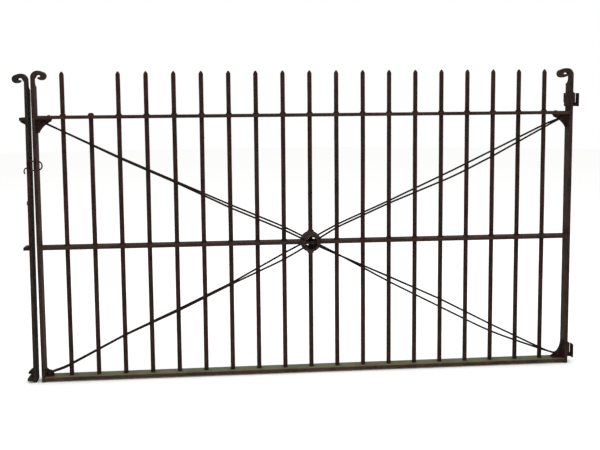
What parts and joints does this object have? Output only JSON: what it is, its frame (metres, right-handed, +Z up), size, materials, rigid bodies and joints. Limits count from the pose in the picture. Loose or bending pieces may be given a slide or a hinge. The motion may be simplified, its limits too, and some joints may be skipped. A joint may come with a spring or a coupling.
{
  "type": "garden gate",
  "caption": "Wrought-iron driveway gate leaf with round pickets, pierced round hub, diagonal brace rods, scroll-topped stiles, hook hinges and a jamb bar with a hasp.",
  "frame": {"origin": "on the ground in the plane of the pickets, under the middle of the whole part, 24 mm to the latch side of the middle of the leaf", "axes": "+Z up, +X to the hinge side, the front with the hasp faces -Y"},
  "size_m": [2.3964, 0.1, 1.313],
  "materials": {
    "upright_bar": "weathered wrought iron, olive brown, matt and pitted",
    "rail_bar": "weathered wrought iron with algae on its upper faces, matt",
    "picket_bar": "weathered wrought iron, rust brown, matt",
    "hub_casting": "weathered cast iron, grey brown, matt",
    "brace_rod": "weathered wrought iron, dark brown, matt",
    "small_forgings": "weathered wrought iron, dark brown, matt"
  },
  "bodies": {
    "jamb": {"upper_pintle": "small_forgings", "lower_pintle": "small_forgings", "jamb_bar": "upright_bar", "jamb_lug_top": "rail_bar", "jamb_lug_middle": "rail_bar", "jamb_lug_bottom": "rail_bar", "jamb_strip": "small_forgings", "jamb_rivets": "small_forgings", "hasp_eyes": "small_forgings"},
    "leaf": {"bottom_rail": "rail_bar", "brace_rivets": "small_forgings", "bracket_bottom_hinge": "small_forgings", "bracket_bottom_latch": "small_forgings", "bracket_rivets": "small_forgings", "bracket_top_hinge": "small_forgings", "bracket_top_latch": "small_forgings", "hasp_staple": "small_forgings", "hinge_inner_plate": "small_forgings", "hinge_rivets": "small_forgings", "hinge_stile": "upright_bar", "hub_front_shell": "hub_casting", "hub_rear_shell": "hub_casting", "latch_stile": "upright_bar", "lower_hinge_eye": "small_forgings", "middle_rail": "rail_bar", "middle_rail_collars": "small_forgings", "picket_01": "picket_bar", "picket_02": "picket_bar", "picket_03": "picket_bar", "picket_04": "picket_bar", "picket_05": "picket_bar", "picket_06": "picket_bar", "picket_07": "picket_bar", "picket_08": "picket_bar", "picket_09": "picket_bar", "picket_10": "picket_bar", "picket_11": "picket_bar", "picket_12": "picket_bar", "picket_13": "picket_bar", "picket_14": "picket_bar", "picket_15": "picket_bar", "picket_16": "picket_bar", "picket_17": "picket_bar", "picket_18": "picket_bar", "picket_19": "picket_bar", "rod_lower_hinge_front": "brace_rod", "rod_lower_hinge_rear": "brace_rod", "rod_lower_latch_front": "brace_rod", "rod_lower_latch_rear": "brace_rod", "rod_upper_hinge_front": "brace_rod", "rod_upper_hinge_rear": "brace_rod", "rod_upper_latch_front": "brace_rod", "rod_upper_latch_rear": "brace_rod", "top_rail": "rail_bar", "top_rail_collars": "small_forgings", "upper_hinge_eye": "small_forgings"},
    "hasp": {"hasp_loop": "small_forgings"}
  },
  "joints": [
    {"name": "leaf_swing", "type": "hinge", "parent": "jamb", "child": "leaf", "pos_m": [1.18298, 0, 0], "axis": [0, 0, -1], "range_deg": [0, 90]},
    {"name": "hasp_swing", "type": "hinge", "parent": "jamb", "child": "hasp", "pos_m": [-1.14602, -0.03901, 0], "axis": [0, 0, -1], "range_deg": [0, 90]}
  ]
}
